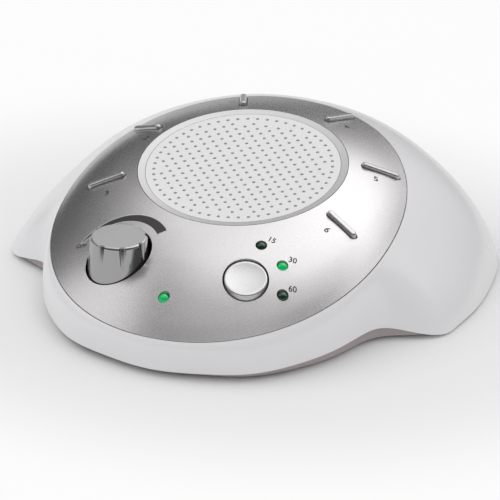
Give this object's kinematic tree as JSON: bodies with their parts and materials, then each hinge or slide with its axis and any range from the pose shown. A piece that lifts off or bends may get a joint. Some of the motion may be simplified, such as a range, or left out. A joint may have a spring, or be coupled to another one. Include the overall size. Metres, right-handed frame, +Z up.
{
  "type": "white noise sound machine",
  "caption": "Low domed bedside sound machine with a tilted speaker grille, sound buttons, a timer button, a volume knob and indicator lights.",
  "frame": {"origin": "on the table, under the middle of the body's bounding box", "axes": "+X to the right of someone facing the controls, +Y towards the back, +Z up"},
  "size_m": [0.1593, 0.1437, 0.0453],
  "materials": {
    "pearl_white": "soft gloss, pearl white",
    "warm_grey": "matt",
    "satin_silver": "satin silver paint",
    "light_silver": "satin silver paint",
    "grille_white": "matt",
    "button_silver": "satin silver paint",
    "knob_silver": "metallised, satin",
    "led_lit": "clear tinted, lit",
    "led_dark": "clear tinted, unlit",
    "diffuser_black": "matt",
    "rubber_black": "matt",
    "paper_black": "pressed paper",
    "cloth_tan": "treated cloth",
    "stamped_steel": "zinc plated",
    "ferrite": "sintered",
    "board_green": "solder mask",
    "part_black": "moulded",
    "can_silver": "drawn can",
    "screw_steel": "zinc plated",
    "spring_steel": "nickel plated",
    "brass": "bright",
    "cell_jacket": "printed film",
    "wire_red": "soft jacket",
    "wire_black": "soft jacket",
    "ribbon_grey": "soft jacket"
  },
  "bodies": {
    "case": {"base_housing": "warm_grey", "battery_cells": "cell_jacket", "battery_contacts": "spring_steel", "battery_springs": "spring_steel", "battery_wires": "wire_red", "board_capacitors": "can_silver", "board_chips": "part_black", "board_ribbon": "ribbon_grey", "case_screws": "screw_steel", "dc_jack": "part_black", "dc_pin": "brass", "face_panel": "satin_silver", "grille_ring": "light_silver", "jack_wires": "wire_black", "key_board": "board_green", "key_board_screws": "screw_steel", "key_switches": "part_black", "led_15": "led_dark", "led_30": "led_lit", "led_60": "led_dark", "led_leads": "spring_steel", "led_power": "led_lit", "led_tubes": "diffuser_black", "main_board": "board_green", "main_board_screws": "screw_steel", "pot_body": "can_silver", "rubber_feet": "rubber_black", "speaker_frame": "stamped_steel", "speaker_gasket": "rubber_black", "speaker_grille": "grille_white", "speaker_magnet": "ferrite", "speaker_screws": "screw_steel", "speaker_spider": "cloth_tan", "speaker_surround": "rubber_black", "speaker_tags": "part_black", "speaker_top_plate": "stamped_steel", "speaker_wires": "wire_red", "speaker_yoke": "stamped_steel", "timer_switch": "part_black", "upper_shell": "pearl_white"},
    "timer": {"timer_button": "button_silver", "timer_plunger": "part_black"},
    "knob": {"volume_knob": "knob_silver", "pot_shaft": "part_black"},
    "cone": {"speaker_cone": "paper_black"},
    "door": {"battery_door": "warm_grey"},
    "button_1": {"sound_button_1": "button_silver", "key_plunger_1": "part_black"},
    "button_2": {"sound_button_2": "button_silver", "key_plunger_2": "part_black"},
    "button_3": {"sound_button_3": "button_silver", "key_plunger_3": "part_black"},
    "button_4": {"sound_button_4": "button_silver", "key_plunger_4": "part_black"},
    "button_5": {"sound_button_5": "button_silver", "key_plunger_5": "part_black"},
    "button_6": {"sound_button_6": "button_silver", "key_plunger_6": "part_black"}
  },
  "joints": [
    {"name": "button_1_press", "type": "slide", "parent": "case", "child": "button_1", "axis": [0, 0.1409, -0.99], "range_m": [0, 0.0008], "stiffness_N_per_m": 900, "springref_m": -0.0004},
    {"name": "button_2_press", "type": "slide", "parent": "case", "child": "button_2", "axis": [0, 0.1409, -0.99], "range_m": [0, 0.0008], "stiffness_N_per_m": 900, "springref_m": -0.0004},
    {"name": "button_3_press", "type": "slide", "parent": "case", "child": "button_3", "axis": [0, 0.1409, -0.99], "range_m": [0, 0.0008], "stiffness_N_per_m": 900, "springref_m": -0.0004},
    {"name": "button_4_press", "type": "slide", "parent": "case", "child": "button_4", "axis": [0, 0.1409, -0.99], "range_m": [0, 0.0008], "stiffness_N_per_m": 900, "springref_m": -0.0004},
    {"name": "button_5_press", "type": "slide", "parent": "case", "child": "button_5", "axis": [0, 0.1409, -0.99], "range_m": [0, 0.0008], "stiffness_N_per_m": 900, "springref_m": -0.0004},
    {"name": "button_6_press", "type": "slide", "parent": "case", "child": "button_6", "axis": [0, 0.1409, -0.99], "range_m": [0, 0.0008], "stiffness_N_per_m": 900, "springref_m": -0.0004},
    {"name": "timer_press", "type": "slide", "parent": "case", "child": "timer", "axis": [0, 0, -1], "range_m": [0, 0.001], "stiffness_N_per_m": 900, "springref_m": -0.0004},
    {"name": "volume_turn", "type": "hinge", "parent": "case", "child": "knob", "pos_m": [-0.0222, -0.0454, 0.0186], "axis": [0, 0, -1], "range_deg": [-60, 240]},
    {"name": "cone_stroke", "type": "slide", "parent": "case", "child": "cone", "axis": [0, -0.1409, 0.99], "range_m": [-0.0004, 0.0004], "stiffness_N_per_m": 1200},
    {"name": "door_lift_off", "type": "slide", "parent": "case", "child": "door", "axis": [0, 0, -1], "range_m": [0, 0.01]}
  ]
}
